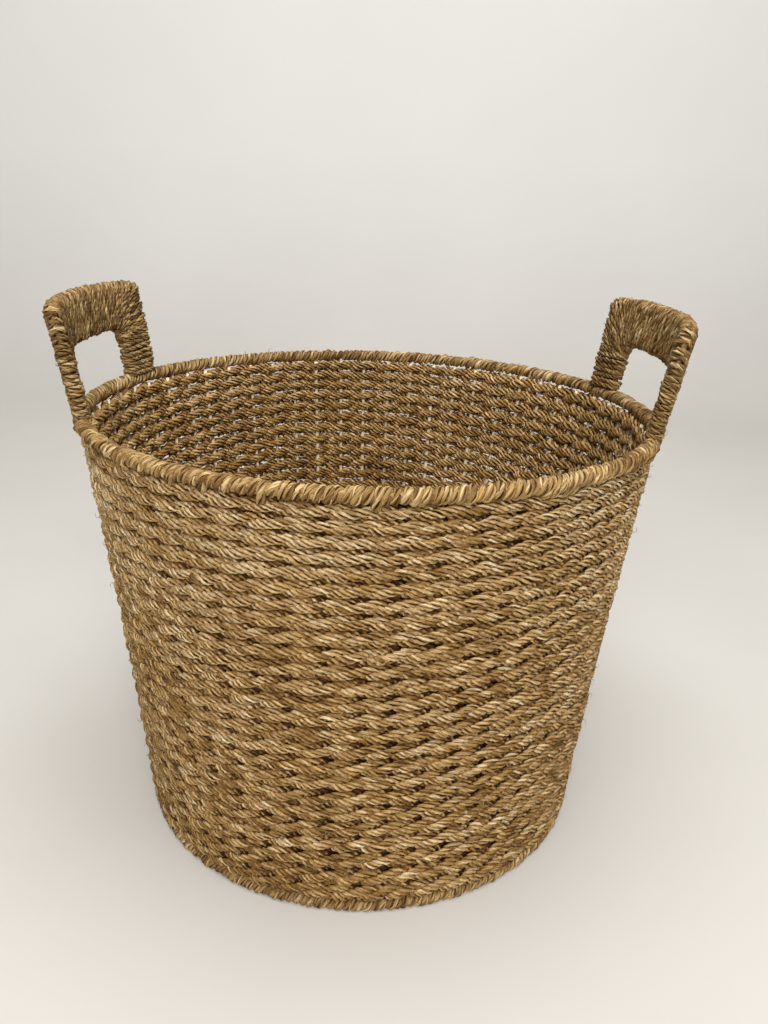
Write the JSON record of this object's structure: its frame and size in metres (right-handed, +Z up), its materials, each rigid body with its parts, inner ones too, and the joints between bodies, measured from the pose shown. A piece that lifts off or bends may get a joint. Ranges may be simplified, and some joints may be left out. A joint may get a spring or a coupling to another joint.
{
  "type": "woven laundry basket",
  "caption": "Round open laundry basket, tapering to its base, woven from seagrass rope on upright stakes, with a cord-wrapped rim and base ring and two upright loop handles.",
  "frame": {"origin": "on the floor, under the middle of the base ring", "axes": "+Z up through the middle of the basket; the handles stand at +X and -X; the front faces -Y"},
  "size_m": [0.4786, 0.45, 0.4238],
  "materials": {
    "seagrass_rope": "twisted seagrass rope, dry and matt",
    "seagrass_cord": "twisted seagrass cord, dry and matt",
    "cane_stakes": "peeled cane, matt",
    "frame_wire": "drawn wire, dull"
  },
  "bodies": {
    "root": {"base_hoop": "frame_wire", "base_wrap": "seagrass_cord", "floor_centre": "seagrass_rope", "floor_rows_lower": "seagrass_rope", "floor_rows_upper": "seagrass_rope", "left_handle_front_upright_wrap": "seagrass_cord", "left_handle_grip_wrap": "seagrass_cord", "left_handle_inner_wire": "frame_wire", "left_handle_outer_wire": "frame_wire", "left_handle_rear_upright_wrap": "seagrass_cord", "right_handle_front_upright_wrap": "seagrass_cord", "right_handle_grip_wrap": "seagrass_cord", "right_handle_inner_wire": "frame_wire", "right_handle_outer_wire": "frame_wire", "right_handle_rear_upright_wrap": "seagrass_cord", "rim_hoop": "frame_wire", "rim_wrap": "seagrass_cord", "stakes": "cane_stakes", "weave_row_01": "seagrass_rope", "weave_row_02": "seagrass_rope", "weave_row_03": "seagrass_rope", "weave_row_04": "seagrass_rope", "weave_row_05": "seagrass_rope", "weave_row_06": "seagrass_rope", "weave_row_07": "seagrass_rope", "weave_row_08": "seagrass_rope", "weave_row_09": "seagrass_rope", "weave_row_10": "seagrass_rope", "weave_row_11": "seagrass_rope", "weave_row_12": "seagrass_rope", "weave_row_13": "seagrass_rope", "weave_row_14": "seagrass_rope", "weave_row_15": "seagrass_rope", "weave_row_16": "seagrass_rope", "weave_row_17": "seagrass_rope", "weave_row_18": "seagrass_rope", "weave_row_19": "seagrass_rope", "weave_row_20": "seagrass_rope", "weave_row_21": "seagrass_rope", "weave_row_22": "seagrass_rope", "weave_row_23": "seagrass_rope", "weave_row_24": "seagrass_rope", "weave_row_25": "seagrass_rope"}
  },
  "joints": []
}
